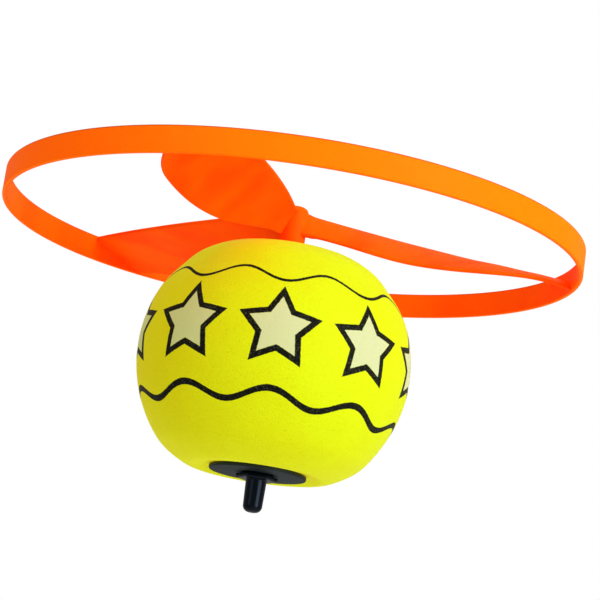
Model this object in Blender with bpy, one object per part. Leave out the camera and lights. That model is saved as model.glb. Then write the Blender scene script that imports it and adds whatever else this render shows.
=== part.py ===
"""Flying spinner: a hooped three-blade rotor above a foam ball head, on one axle that ends in a launch peg.

Metres, +Z up. The origin is on the spin axis, in the plane of the base disc's lower face.
"""
import math

import bmesh
import bpy

MM = 0.001

# Clearances
SEAT_GAP = 0.25 * MM  # between pieces that rest, press or plug together
RUN_GAP = 0.30 * MM  # round pieces that turn in each other

# Foam ball
BALL_DIAMETER = 70.0 * MM
BALL_FLAT_CUT = 7.5 * MM  # depth cut off each pole
BALL_EDGE_RADIUS = 14.0 * MM  # rounding between the flats and the sphere

# Axle
AXLE_DIAMETER = 3.0 * MM
AXLE_CHAMFER = 0.4 * MM
AXLE_IN_PEG = 7.0 * MM  # depth of the peg's bore below the base disc's face
AXLE_IN_HUB = 9.5 * MM  # depth of the hub's bore

# Bushes and thrust washers
BUSH_WALL = 0.9 * MM
BUSH_LENGTH = 5.0 * MM
BUSH_FLANGE_THICKNESS = 0.8 * MM
BUSH_FLANGE_WIDTH = 1.0 * MM
WASHER_THICKNESS = 0.6 * MM
WASHER_WIDTH = 1.8 * MM

# Base disc and top flange with the sleeves that meet inside the ball
DISC_DIAMETER = 24.8 * MM
DISC_THICKNESS = 1.0 * MM
DISC_EDGE_RADIUS = 0.4 * MM
DISC_DISH_DEPTH = 0.3 * MM  # shallow dish in the disc's lower face, under the peg's collar
FLANGE_DIAMETER = 22.0 * MM
FLANGE_THICKNESS = 1.2 * MM
FLANGE_EDGE_RADIUS = 0.4 * MM
SLEEVE_DIAMETER = 12.6 * MM
SLEEVE_BORE_DIAMETER = 4.6 * MM
PLUG_LENGTH = 8.0 * MM  # overlap of the upper sleeve inside the lower one
PLUG_WALL = 1.7 * MM

# Drive peg
PEG_LENGTH = 9.6 * MM  # below the base disc's face
PEG_ROOT_DIAMETER = 5.3 * MM
PEG_TIP_DIAMETER = 4.8 * MM
PEG_TIP_RADIUS = 1.7 * MM
COLLAR_ACROSS_FLATS = 9.4 * MM
COLLAR_HEIGHT = 1.1 * MM
COLLAR_CHAMFER = 0.4 * MM
SPIGOT_DIAMETER = 7.0 * MM  # the peg's shank inside the base disc
SPIGOT_HEIGHT = 9.0 * MM  # above the base disc's face

# Rotor
HOOP_DIAMETER = 150.0 * MM
HOOP_HEIGHT = 6.7 * MM
HOOP_WALL = 1.2 * MM
HOOP_EDGE_CHAMFER = 0.25 * MM
HOOP_ABOVE_FOOT = 1.65 * MM  # hoop's lower edge above the hub's foot
HUB_DIAMETER = 6.6 * MM
HUB_HEIGHT = 11.5 * MM
HUB_CROWN_RADIUS = 1.6 * MM
HUB_FOOT_DIAMETER = 7.5 * MM
HUB_FOOT_HEIGHT = 1.2 * MM
BLADE_COUNT = 3
BLADE_START_DEG = 16.7  # where the first leading edge points, from +X towards +Y
BLADE_THICKNESS = 1.0 * MM
BLADE_LEAD_OFFSET = 0.4 * MM  # ends of the leading edge ahead of the radial line
BLADE_LEAD_BOW = 2.4 * MM  # middle of the leading edge ahead of its ends
BLADE_ROOT_CHORD = 3.0 * MM
BLADE_WIDE_CHORD = 22.1 * MM
BLADE_TIP_CHORD = 15.9 * MM
BLADE_WIDEST_AT = 0.75  # share of the span
BLADE_ROOT_DROP = 6.4 * MM  # leading edge down to trailing edge
BLADE_STEEPEST_DROP = 9.5 * MM
BLADE_STEEPEST_AT = 0.4  # share of the span
BLADE_BELOW_CROWN = 1.4 * MM  # leading edge's root below the hub's top
BLADE_TIP_INSET = 0.55 * MM  # blade's middle inside the hoop's two edges
BLADE_CAMBER = 0.6 * MM

# Facets of the round pieces
BALL_SEGMENTS = 60
HOOP_SEGMENTS = 96
CORE_SEGMENTS = 40
ARC_STEPS = 5
BALL_ARC_STEPS = 14
BLADE_SPAN_STEPS = 14
BLADE_CHORD_STEPS = 5

# Radii shared by pieces that fit each other
AXLE_RADIUS = AXLE_DIAMETER / 2
PRESS_BORE_RADIUS = AXLE_RADIUS + SEAT_GAP
BUSH_BORE_RADIUS = AXLE_RADIUS + RUN_GAP
BUSH_RADIUS = BUSH_BORE_RADIUS + BUSH_WALL
BUSH_FLANGE_RADIUS = BUSH_RADIUS + BUSH_FLANGE_WIDTH
BUSH_SEAT_RADIUS = BUSH_RADIUS + SEAT_GAP
SPIGOT_RADIUS = SPIGOT_DIAMETER / 2
PEG_WELL_RADIUS = max(SPIGOT_RADIUS, BUSH_FLANGE_RADIUS) + RUN_GAP
COLLAR_RADIUS = COLLAR_ACROSS_FLATS / 2 / math.cos(math.pi / 6)  # to its corners
DISH_RADIUS = max(COLLAR_RADIUS, PEG_WELL_RADIUS) + RUN_GAP
SLEEVE_RADIUS = max(SLEEVE_DIAMETER / 2, PEG_WELL_RADIUS + PLUG_WALL)
SLEEVE_BORE_RADIUS = max(SLEEVE_BORE_DIAMETER / 2, AXLE_RADIUS + 2 * RUN_GAP)
PLUG_RADIUS = SLEEVE_BORE_RADIUS + PLUG_WALL
SOCKET_RADIUS = PLUG_RADIUS + SEAT_GAP
BALL_BORE_RADIUS = max(SLEEVE_RADIUS, SOCKET_RADIUS + PLUG_WALL) + SEAT_GAP

# Heights along the axis, from the base disc's lower face upwards
BALL_BOTTOM_Z = DISC_THICKNESS + SEAT_GAP
BALL_HEIGHT = BALL_DIAMETER - 2 * BALL_FLAT_CUT
BALL_TOP_Z = BALL_BOTTOM_Z + BALL_HEIGHT
BALL_CENTRE_Z = BALL_BOTTOM_Z + BALL_HEIGHT / 2
FLANGE_BOTTOM_Z = BALL_TOP_Z + SEAT_GAP
FLANGE_TOP_Z = FLANGE_BOTTOM_Z + FLANGE_THICKNESS
LOWER_WASHER_Z = SPIGOT_HEIGHT + SEAT_GAP
LOWER_BUSH_Z = LOWER_WASHER_Z + WASHER_THICKNESS + SEAT_GAP
LOWER_SEAT_Z = LOWER_BUSH_Z + BUSH_FLANGE_THICKNESS + SEAT_GAP
UPPER_SEAT_Z = FLANGE_TOP_Z - BUSH_FLANGE_THICKNESS - SEAT_GAP
UPPER_WASHER_Z = FLANGE_TOP_Z + SEAT_GAP
HUB_FOOT_Z = UPPER_WASHER_Z + WASHER_THICKNESS + SEAT_GAP
SLEEVE_SPLIT_Z = BALL_CENTRE_Z + PLUG_LENGTH / 2
AXLE_BOTTOM_Z = SEAT_GAP - AXLE_IN_PEG
AXLE_TOP_Z = HUB_FOOT_Z + AXLE_IN_HUB - SEAT_GAP
HOOP_BOTTOM_Z = HUB_FOOT_Z + HOOP_ABOVE_FOOT
HOOP_TOP_Z = HOOP_BOTTOM_Z + HOOP_HEIGHT
COLLAR_TOP_Z = -SEAT_GAP
COLLAR_BOTTOM_Z = COLLAR_TOP_Z - COLLAR_HEIGHT


def clear_scene():
    """Remove every object that the scene starts with."""
    for obj in list(bpy.data.objects):
        bpy.data.objects.remove(obj, do_unlink=True)


def make_material(name, colour, roughness, metallic=0.0):
    """A Principled material of one colour (linear RGB)."""
    material = bpy.data.materials.new(name)
    material.use_nodes = True
    shader = material.node_tree.nodes["Principled BSDF"]
    shader.inputs["Base Color"].default_value = (*colour, 1.0)
    shader.inputs["Roughness"].default_value = roughness
    shader.inputs["Metallic"].default_value = metallic
    material.diffuse_color = (*colour, 1.0)
    return material


def make_empty(name):
    """An empty on the spin axis that carries one rigid group."""
    empty = bpy.data.objects.new(name, None)
    empty.empty_display_size = BALL_DIAMETER / 2
    bpy.context.collection.objects.link(empty)
    return empty


def finish_object(name, bm, material, parent, sharp_deg=35.0):
    """Put a bmesh into a new object, shaded smooth apart from its sharp edges."""
    bmesh.ops.recalc_face_normals(bm, faces=bm.faces)
    mesh = bpy.data.meshes.new(name)
    bm.to_mesh(mesh)
    bm.free()
    mesh.materials.append(material)
    mesh.shade_smooth()
    mesh.set_sharp_from_angle(angle=math.radians(sharp_deg))
    obj = bpy.data.objects.new(name, mesh)
    obj.parent = parent
    bpy.context.collection.objects.link(obj)
    return obj


def make_guide(obj):
    """Turn an object into a boolean operand that is not a piece."""
    obj.hide_render = True
    obj.display_type = "WIRE"
    return obj


def add_boolean(obj, operand, operation):
    """Join or cut an object with a guide."""
    modifier = obj.modifiers.new(operand.name, "BOOLEAN")
    modifier.operation = operation
    modifier.solver = "EXACT"
    modifier.object = operand


def arc(centre_r, centre_z, radius, start_deg, end_deg, steps=ARC_STEPS):
    """Points of an arc in the half plane (radius, height)."""
    angles = [math.radians(start_deg + (end_deg - start_deg) * i / steps) for i in range(steps + 1)]
    return [(centre_r + radius * math.cos(a), centre_z + radius * math.sin(a)) for a in angles]


def spin_profile(profile, segments, closed):
    """Turn a profile of (radius, height) points once round Z; an open profile starts and ends on the axis."""
    bm = bmesh.new()
    verts = [bm.verts.new((r, 0.0, z)) for r, z in profile]
    edges = [bm.edges.new(pair) for pair in zip(verts, verts[1:])]
    if closed:
        edges.append(bm.edges.new((verts[-1], verts[0])))
    bmesh.ops.spin(
        bm, geom=verts + edges, cent=(0, 0, 0), axis=(0, 0, 1), angle=math.tau, steps=segments, use_merge=True
    )
    bmesh.ops.remove_doubles(bm, verts=bm.verts, dist=1e-6)
    return bm


def turned(name, profile, segments, material, parent, closed=True):
    """One turned piece."""
    return finish_object(name, spin_profile(profile, segments, closed), material, parent)


def ease(share):
    """Smooth step from 0 to 1."""
    share = min(max(share, 0.0), 1.0)
    return share * share * (3.0 - 2.0 * share)


def blade_chord(share):
    """Leaf outline: a quarter sine from root to widest, then a quarter cosine to the tip."""
    if share < BLADE_WIDEST_AT:
        swell = math.sin(math.pi / 2 * share / BLADE_WIDEST_AT)
        return BLADE_ROOT_CHORD + (BLADE_WIDE_CHORD - BLADE_ROOT_CHORD) * swell
    swell = math.cos(math.pi / 2 * (share - BLADE_WIDEST_AT) / (1.0 - BLADE_WIDEST_AT))
    return BLADE_TIP_CHORD + (BLADE_WIDE_CHORD - BLADE_TIP_CHORD) * swell


def blade_drop(share):
    """Fall from leading to trailing edge: smooth from root to steepest, then to the hoop."""
    tip_drop = HOOP_HEIGHT - 2 * BLADE_TIP_INSET
    if share < BLADE_STEEPEST_AT:
        return BLADE_ROOT_DROP + (BLADE_STEEPEST_DROP - BLADE_ROOT_DROP) * ease(share / BLADE_STEEPEST_AT)
    late = ease((share - BLADE_STEEPEST_AT) / (1.0 - BLADE_STEEPEST_AT))
    return BLADE_STEEPEST_DROP + (tip_drop - BLADE_STEEPEST_DROP) * late


def build_foam_ball(material, parent):
    """Sphere with two cut flats, rounded where they meet it, and a bore for the sleeves."""
    radius = BALL_DIAMETER / 2
    half = BALL_HEIGHT / 2
    inner = radius - BALL_EDGE_RADIUS
    level = half - BALL_EDGE_RADIUS
    flat_radius = math.sqrt(inner * inner - level * level)
    side_deg = math.degrees(math.asin(level / inner))
    lower = BALL_CENTRE_Z - level
    upper = BALL_CENTRE_Z + level
    profile = [(BALL_BORE_RADIUS, BALL_BOTTOM_Z)]
    profile += arc(flat_radius, lower, BALL_EDGE_RADIUS, -90.0, -side_deg)
    profile += arc(0.0, BALL_CENTRE_Z, radius, -side_deg, side_deg, BALL_ARC_STEPS)[1:-1]
    profile += arc(flat_radius, upper, BALL_EDGE_RADIUS, side_deg, 90.0)
    profile.append((BALL_BORE_RADIUS, BALL_TOP_Z))
    return turned("foam_ball", profile, BALL_SEGMENTS, material, parent)


def build_base_disc(material, parent):
    """Disc under the ball, with the lower sleeve: peg well, bush seat, axle bore and socket."""
    rim = DISC_DIAMETER / 2
    seat_end = LOWER_SEAT_Z + BUSH_LENGTH + SEAT_GAP
    socket_floor = SLEEVE_SPLIT_Z - PLUG_LENGTH - SEAT_GAP
    profile = [(PEG_WELL_RADIUS, DISC_DISH_DEPTH), (DISH_RADIUS, 0.0)]
    profile += arc(rim - DISC_EDGE_RADIUS, DISC_EDGE_RADIUS, DISC_EDGE_RADIUS, -90.0, 0.0)
    profile += [
        (rim, DISC_THICKNESS),
        (SLEEVE_RADIUS, DISC_THICKNESS),
        (SLEEVE_RADIUS, SLEEVE_SPLIT_Z - SEAT_GAP),
        (SOCKET_RADIUS, SLEEVE_SPLIT_Z - SEAT_GAP),
        (SOCKET_RADIUS, socket_floor),
        (SLEEVE_BORE_RADIUS, socket_floor),
        (SLEEVE_BORE_RADIUS, seat_end),
        (BUSH_SEAT_RADIUS, seat_end),
        (BUSH_SEAT_RADIUS, LOWER_SEAT_Z),
        (PEG_WELL_RADIUS, LOWER_SEAT_Z),
    ]
    return turned("base_disc", profile, CORE_SEGMENTS, material, parent)


def build_top_flange(material, parent):
    """Flange on the upper flat, with the upper sleeve that plugs into the lower one."""
    rim = FLANGE_DIAMETER / 2
    seat_end = UPPER_SEAT_Z - BUSH_LENGTH - SEAT_GAP
    plug_end = SLEEVE_SPLIT_Z - PLUG_LENGTH
    recess = BUSH_FLANGE_RADIUS + SEAT_GAP
    profile = [
        (SLEEVE_BORE_RADIUS, plug_end),
        (PLUG_RADIUS, plug_end),
        (PLUG_RADIUS, SLEEVE_SPLIT_Z),
        (SLEEVE_RADIUS, SLEEVE_SPLIT_Z),
        (SLEEVE_RADIUS, FLANGE_BOTTOM_Z),
        (rim, FLANGE_BOTTOM_Z),
    ]
    profile += arc(rim - FLANGE_EDGE_RADIUS, FLANGE_TOP_Z - FLANGE_EDGE_RADIUS, FLANGE_EDGE_RADIUS, 0.0, 90.0)
    profile += [
        (recess, FLANGE_TOP_Z),
        (recess, UPPER_SEAT_Z),
        (BUSH_SEAT_RADIUS, UPPER_SEAT_Z),
        (BUSH_SEAT_RADIUS, seat_end),
        (SLEEVE_BORE_RADIUS, seat_end),
    ]
    return turned("top_flange", profile, CORE_SEGMENTS, material, parent)


def build_bush(name, flange_z, towards, material, parent):
    """Flanged bush; the barrel runs from the flange towards the middle of the ball (towards is 1 or -1)."""
    shoulder_z = flange_z + towards * BUSH_FLANGE_THICKNESS
    end_z = shoulder_z + towards * BUSH_LENGTH
    profile = [
        (BUSH_BORE_RADIUS, flange_z),
        (BUSH_FLANGE_RADIUS, flange_z),
        (BUSH_FLANGE_RADIUS, shoulder_z),
        (BUSH_RADIUS, shoulder_z),
        (BUSH_RADIUS, end_z),
        (BUSH_BORE_RADIUS, end_z),
    ]
    return turned(name, profile, CORE_SEGMENTS, material, parent)


def build_washer(name, bottom_z, material, parent):
    """Flat thrust washer on the axle."""
    inner = BUSH_BORE_RADIUS
    outer = inner + WASHER_WIDTH
    top_z = bottom_z + WASHER_THICKNESS
    profile = [(inner, bottom_z), (outer, bottom_z), (outer, top_z), (inner, top_z)]
    return turned(name, profile, CORE_SEGMENTS, material, parent)


def build_axle(material, parent):
    """Plain rod with chamfered ends."""
    rim = AXLE_RADIUS - AXLE_CHAMFER
    profile = [
        (0.0, AXLE_BOTTOM_Z),
        (rim, AXLE_BOTTOM_Z),
        (AXLE_RADIUS, AXLE_BOTTOM_Z + AXLE_CHAMFER),
        (AXLE_RADIUS, AXLE_TOP_Z - AXLE_CHAMFER),
        (rim, AXLE_TOP_Z),
        (0.0, AXLE_TOP_Z),
    ]
    return turned("axle", profile, CORE_SEGMENTS, material, parent, closed=False)


def build_collar(material, parent):
    """Hexagonal collar with a chamfered lower edge; two corners point along X."""
    profile = [
        (0.0, COLLAR_BOTTOM_Z),
        (COLLAR_RADIUS - COLLAR_CHAMFER, COLLAR_BOTTOM_Z),
        (COLLAR_RADIUS, COLLAR_BOTTOM_Z + COLLAR_CHAMFER),
        (COLLAR_RADIUS, COLLAR_TOP_Z),
        (0.0, COLLAR_TOP_Z),
    ]
    return make_guide(turned("drive_collar_form", profile, 6, material, parent, closed=False))


def build_drive_peg(material, parent):
    """Peg with a rounded end and a spigot above, joined with its collar, bored for the axle."""
    root = PEG_ROOT_DIAMETER / 2
    tip = PEG_TIP_DIAMETER / 2
    bottom_z = -PEG_LENGTH
    collar_middle_z = (COLLAR_TOP_Z + COLLAR_BOTTOM_Z) / 2
    profile = [(0.0, bottom_z)]
    profile += arc(tip - PEG_TIP_RADIUS, bottom_z + PEG_TIP_RADIUS, PEG_TIP_RADIUS, -90.0, 0.0)
    profile += [
        (root, COLLAR_BOTTOM_Z),
        (root, collar_middle_z),
        (SPIGOT_RADIUS, collar_middle_z),
        (SPIGOT_RADIUS, SPIGOT_HEIGHT),
        (0.0, SPIGOT_HEIGHT),
    ]
    peg = turned("drive_peg", profile, CORE_SEGMENTS, material, parent, closed=False)
    bore = make_guide(axle_bore("peg_bore_cut", -AXLE_IN_PEG, SPIGOT_HEIGHT + SEAT_GAP, material, parent))
    add_boolean(peg, build_collar(material, parent), "UNION")
    add_boolean(peg, bore, "DIFFERENCE")
    return peg


def axle_bore(name, bottom_z, top_z, material, parent):
    """Cylinder that cuts the axle's bore."""
    profile = [(0.0, bottom_z), (PRESS_BORE_RADIUS, bottom_z), (PRESS_BORE_RADIUS, top_z), (0.0, top_z)]
    return turned(name, profile, CORE_SEGMENTS, material, parent, closed=False)


def build_hoop(material, parent):
    """Thin upright band with eased edges."""
    outer = HOOP_DIAMETER / 2
    inner = outer - HOOP_WALL
    ease_by = HOOP_EDGE_CHAMFER
    profile = [
        (inner + ease_by, HOOP_BOTTOM_Z),
        (outer - ease_by, HOOP_BOTTOM_Z),
        (outer, HOOP_BOTTOM_Z + ease_by),
        (outer, HOOP_TOP_Z - ease_by),
        (outer - ease_by, HOOP_TOP_Z),
        (inner + ease_by, HOOP_TOP_Z),
        (inner, HOOP_TOP_Z - ease_by),
        (inner, HOOP_BOTTOM_Z + ease_by),
    ]
    return make_guide(turned("hoop_form", profile, HOOP_SEGMENTS, material, parent))


def build_blade(index, material, parent):
    """One pitched blade from inside the hub to the middle of the hoop's wall, as a thickened grid."""
    turn = math.radians(BLADE_START_DEG) + math.tau * index / BLADE_COUNT
    tip_radius = HOOP_DIAMETER / 2 - HOOP_WALL / 2
    root_x = AXLE_RADIUS / 2
    lead_root_z = HUB_FOOT_Z + HUB_HEIGHT - BLADE_BELOW_CROWN
    lead_tip_z = HOOP_TOP_Z - BLADE_TIP_INSET
    bm = bmesh.new()
    rows = []
    for i in range(BLADE_SPAN_STEPS + 1):
        u = i / BLADE_SPAN_STEPS
        lead_y = BLADE_LEAD_OFFSET + BLADE_LEAD_BOW * 4.0 * u * (1.0 - u)
        lead_z = lead_root_z + (lead_tip_z - lead_root_z) * u
        row = []
        for j in range(BLADE_CHORD_STEPS + 1):
            s = j / BLADE_CHORD_STEPS
            y = lead_y - blade_chord(u) * s
            x = root_x + (math.sqrt(tip_radius * tip_radius - y * y) - root_x) * u
            z = lead_z - blade_drop(u) * s + BLADE_CAMBER * 4.0 * s * (1.0 - s)
            row.append(
                bm.verts.new(
                    (x * math.cos(turn) - y * math.sin(turn), x * math.sin(turn) + y * math.cos(turn), z)
                )
            )
        rows.append(row)
    for near, far in zip(rows, rows[1:]):
        for j in range(BLADE_CHORD_STEPS):
            bm.faces.new((near[j], near[j + 1], far[j + 1], far[j]))
    blade = make_guide(finish_object(f"blade_form_{index + 1}", bm, material, parent))
    thicken = blade.modifiers.new("thickness", "SOLIDIFY")
    thicken.thickness = BLADE_THICKNESS
    thicken.offset = 0.0
    return blade


def build_rotor(material, parent):
    """Hub with a crowned top and a wider foot, joined with the blades and the hoop, bored for the axle."""
    radius = HUB_DIAMETER / 2
    foot = HUB_FOOT_DIAMETER / 2
    top_z = HUB_FOOT_Z + HUB_HEIGHT
    foot_top_z = HUB_FOOT_Z + HUB_FOOT_HEIGHT
    profile = [(0.0, HUB_FOOT_Z), (foot, HUB_FOOT_Z), (foot, foot_top_z)]
    profile.append((radius, foot_top_z + foot - radius))
    profile += arc(radius - HUB_CROWN_RADIUS, top_z - HUB_CROWN_RADIUS, HUB_CROWN_RADIUS, 0.0, 90.0)
    profile.append((0.0, top_z))
    rotor = turned("rotor", profile, CORE_SEGMENTS, material, parent, closed=False)
    for index in range(BLADE_COUNT):
        add_boolean(rotor, build_blade(index, material, parent), "UNION")
    add_boolean(rotor, build_hoop(material, parent), "UNION")
    bore = axle_bore("hub_bore_cut", HUB_FOOT_Z - SEAT_GAP, HUB_FOOT_Z + AXLE_IN_HUB, material, parent)
    add_boolean(rotor, make_guide(bore), "DIFFERENCE")
    return rotor


def main():
    """Build every piece under the empty of the rigid group that it moves with."""
    clear_scene()
    foam = make_material("yellow_foam", (0.87, 0.80, 0.01), 0.85)
    orange = make_material("orange_moulding", (1.0, 0.13, 0.01), 0.35)
    satin_black = make_material("satin_black", (0.02, 0.022, 0.026), 0.45)
    gloss_black = make_material("gloss_black", (0.008, 0.009, 0.012), 0.15)
    acetal = make_material("white_acetal", (0.80, 0.79, 0.74), 0.4)
    steel = make_material("bright_steel", (0.62, 0.62, 0.63), 0.25, 1.0)

    head = make_empty("head_axis")
    build_foam_ball(foam, head)
    build_base_disc(satin_black, head)
    build_top_flange(satin_black, head)
    build_bush("lower_bush", LOWER_BUSH_Z, 1, acetal, head)
    build_bush("upper_bush", FLANGE_TOP_Z, -1, acetal, head)

    spinner = make_empty("spin_axis")
    build_rotor(orange, spinner)
    build_axle(steel, spinner)
    build_drive_peg(gloss_black, spinner)
    build_washer("lower_washer", LOWER_WASHER_Z, acetal, spinner)
    build_washer("upper_washer", UPPER_WASHER_Z, acetal, spinner)


main()
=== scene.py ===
"""Looks of the flying spinner: foam ball head, hooped orange rotor and black launch peg.

Metres, +Z up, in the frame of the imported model. Each piece is a surface worked out with numpy, and it rides
on one of two bodies: head, which holds the foam, and rotor, which turns with the axle.
"""
import logging
import math
from dataclasses import dataclass
from enum import Enum

import bmesh
import bpy
import numpy as np
from mathutils import Matrix, Vector
from numpy.typing import NDArray


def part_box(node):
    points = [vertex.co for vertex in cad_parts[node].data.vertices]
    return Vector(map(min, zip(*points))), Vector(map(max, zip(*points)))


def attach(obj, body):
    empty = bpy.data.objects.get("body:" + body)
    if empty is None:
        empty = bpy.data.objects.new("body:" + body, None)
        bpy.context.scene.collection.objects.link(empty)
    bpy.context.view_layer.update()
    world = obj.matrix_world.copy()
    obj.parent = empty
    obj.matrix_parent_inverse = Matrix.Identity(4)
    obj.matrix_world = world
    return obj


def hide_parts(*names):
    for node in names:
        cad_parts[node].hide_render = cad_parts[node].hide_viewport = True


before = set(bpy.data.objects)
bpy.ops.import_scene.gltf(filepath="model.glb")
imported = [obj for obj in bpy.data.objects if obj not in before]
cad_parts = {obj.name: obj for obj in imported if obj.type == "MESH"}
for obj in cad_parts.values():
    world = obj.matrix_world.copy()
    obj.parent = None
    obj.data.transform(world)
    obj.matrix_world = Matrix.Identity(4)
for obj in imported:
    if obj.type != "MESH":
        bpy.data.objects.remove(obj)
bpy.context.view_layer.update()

Array = NDArray[np.float64]
Indices = NDArray[np.int64]
Colour = tuple[float, float, float]
Span = tuple[float, float]
Corner = tuple[float, float, float]
Material = bpy.types.Material
Mesh = bpy.types.Mesh
Object = bpy.types.Object
Socket = bpy.types.NodeSocket
World = bpy.types.World

MM = 0.001
QUARTER_TURN = math.pi / 2
PRINT_MAP = "print"
LOG = logging.getLogger("spinner")

# Corner radii of outlines, and the chords in each corner
SHARP = 0.0
HAIR = 0.05 * MM
CRISP = 0.1 * MM
SLIGHT = 0.15 * MM
EASED = 0.2 * MM
SOFT = 0.3 * MM
CORNER_STEPS = 5
SMALL_CORNER_STEPS = 3

# Colours and ranges that several finishes share
WHITE: Colour = (1.0, 1.0, 1.0)
NO_GLOW: Colour = (0.0, 0.0, 0.0)
RISING: Span = (0.0, 1.0)
FALLING: Span = (1.0, 0.0)
NOISE_SPAN: Span = (0.3, 0.7)
NOISE_MIDDLE = 0.5


class Body(Enum):
    """Rigid bodies of the frame."""

    HEAD = "head"
    ROTOR = "rotor"


class Slot(Enum):
    """Material slots of the record."""

    FOAM = "yellow_foam"
    ORANGE = "orange_moulding"
    SATIN = "satin_black"
    GLOSS = "gloss_black"
    ACETAL = "white_acetal"
    STEEL = "bright_steel"


# Curves and surfaces


def smooth(share: Array) -> Array:
    """Smooth step: 0 below 0, 1 above 1 and 3t^2 - 2t^3 between."""
    t = np.clip(share, 0.0, 1.0)
    return t * t * (3.0 - 2.0 * t)


def hump(offset: Array, width: float) -> Array:
    """Bell curve: e to the power of minus the square of offset over width."""
    return np.exp(-((offset / width) ** 2))


def arch(share: Array) -> Array:
    """Parabola 4t(1 - t): 0 at both ends and 1 in the middle."""
    return 4.0 * share * (1.0 - share)


def unit(vectors: Array) -> Array:
    """Vectors over their lengths."""
    return vectors / np.linalg.norm(vectors, axis=-1, keepdims=True)


def turn_angles(segments: int) -> Array:
    """Angles of one turn at equal steps, as a column."""
    return np.linspace(0.0, math.tau, segments, endpoint=False)[:, None]


def arc(centre: Span, radius: float, start_deg: float, end_deg: float, steps: int) -> Array:
    """Points of an arc in the half plane of radius and height.

    Args:
        centre: Radius and height of the arc's centre.
        radius: Radius of the arc.
        start_deg: First angle, from the outward direction towards +Z.
        end_deg: Last angle.
        steps: Number of chords.

    Returns:
        Array of (radius, height) rows: centre + radius (cos a, sin a).
    """
    angle = np.radians(np.linspace(start_deg, end_deg, steps + 1))
    return np.array(centre) + radius * np.stack([np.cos(angle), np.sin(angle)], axis=1)


def same_corners(places: list[Span], radius: float) -> list[Corner]:
    """Corners at the given places, all with one corner radius."""
    return [(*place, radius) for place in places]


def rounded(corners: list[Corner], steps: int = CORNER_STEPS, closed: bool = True) -> Array:
    """Polygon whose corners are replaced by arcs that touch both of their sides.

    Args:
        corners: Rows of radius, height and corner radius; a corner radius of 0 stays sharp.
        steps: Chords in each arc.
        closed: Whether the last corner joins the first; the ends of an open outline stay sharp.

    Returns:
        Array of (radius, height) rows.
    """
    rows = np.array(corners, dtype=float)
    points = rows[:, :2]
    before = np.roll(points, 1, axis=0) - points
    after = np.roll(points, -1, axis=0) - points
    outline = []
    for index, (point, towards, onward, radius) in enumerate(zip(points, before, after, rows[:, 2])):
        at_end = not closed and index in (0, len(points) - 1)
        if radius <= 0.0 or at_end:
            outline.append(point[None, :])
            continue
        one, two = unit(towards), unit(onward)
        half = math.acos(float(np.clip(one @ two, -1.0, 1.0))) / 2
        middle = unit(one + two) * radius / math.sin(half)
        first = one * radius / math.tan(half) - middle
        last = two * radius / math.tan(half) - middle
        turn = math.atan2(first[0] * last[1] - first[1] * last[0], float(first @ last))
        angle = math.atan2(first[1], first[0]) + turn * np.linspace(0.0, 1.0, steps + 1)
        outline.append(point + middle + radius * np.stack([np.cos(angle), np.sin(angle)], axis=1))
    return np.concatenate(outline)


def resampled(outline: Array, count: int) -> Array:
    """The same outline with points at equal distances along it, by linear interpolation.

    Args:
        outline: Rows of (radius, height).
        count: Number of points wanted.

    Returns:
        Array of (radius, height) rows.
    """
    length = np.concatenate([[0.0], np.cumsum(np.linalg.norm(np.diff(outline, axis=0), axis=1))])
    wanted = np.linspace(0.0, length[-1], count)
    return np.stack([np.interp(wanted, length, outline[:, axis]) for axis in (0, 1)], axis=1)


def around_z(radius: Array, angle: Array, height: Array | float) -> Array:
    """Points round Z: (r cos a, r sin a, z) for each radius r, angle a and height z.

    Args:
        radius: Distances from Z.
        angle: Angles from +X.
        height: Heights; the three are spread over one grid.

    Returns:
        Array of (x, y, z) rows.
    """
    parts = np.broadcast_arrays(radius * np.cos(angle), radius * np.sin(angle), height)
    return np.stack(parts, axis=-1).reshape(-1, 3)


def grid_cells(rows: int, columns: int, wrap_rows: bool, wrap_columns: bool) -> tuple[Array, Indices]:
    """Quads of a grid whose points are numbered row by row.

    Args:
        rows: Rows of points.
        columns: Points in a row.
        wrap_rows: Whether the last row joins the first.
        wrap_columns: Whether the last column joins the first.

    Returns:
        Row and column of every quad corner before wrapping, and the point index of every quad corner.
    """
    first = np.arange(rows if wrap_rows else rows - 1)
    second = np.arange(columns if wrap_columns else columns - 1)
    row, column = np.meshgrid(first, second, indexing="ij")
    steps = ((0, 0), (1, 0), (1, 1), (0, 1))
    corner = np.stack([np.stack([row + i, column + j], axis=-1) for i, j in steps], axis=2)
    corner = corner.reshape(-1, 4, 2)
    return corner.astype(float), (corner[..., 0] % rows) * columns + corner[..., 1] % columns


@dataclass
class Surface:
    """A closed surface: points, faces and, where a pattern follows it, a UV pair for each face corner."""

    points: Array
    faces: list[list[int]]
    corner_uv: Array | None = None

    def mesh(self, name: str) -> Mesh:
        """Blender mesh of the surface, shaded smooth, with its faces pointing outwards.

        Args:
            name: Name of the mesh.

        Returns:
            The new mesh.
        """
        mesh = bpy.data.meshes.new(name)
        mesh.from_pydata(self.points.tolist(), [], self.faces)
        if self.corner_uv is not None:
            layer = mesh.uv_layers.new(name=PRINT_MAP)
            layer.data.foreach_set("uv", self.corner_uv.astype(np.float32).ravel())
        else:
            bm = bmesh.new()
            bm.from_mesh(mesh)
            bmesh.ops.recalc_face_normals(bm, faces=bm.faces)
            bm.to_mesh(mesh)
            bm.free()
        mesh.shade_smooth()
        return mesh


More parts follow.
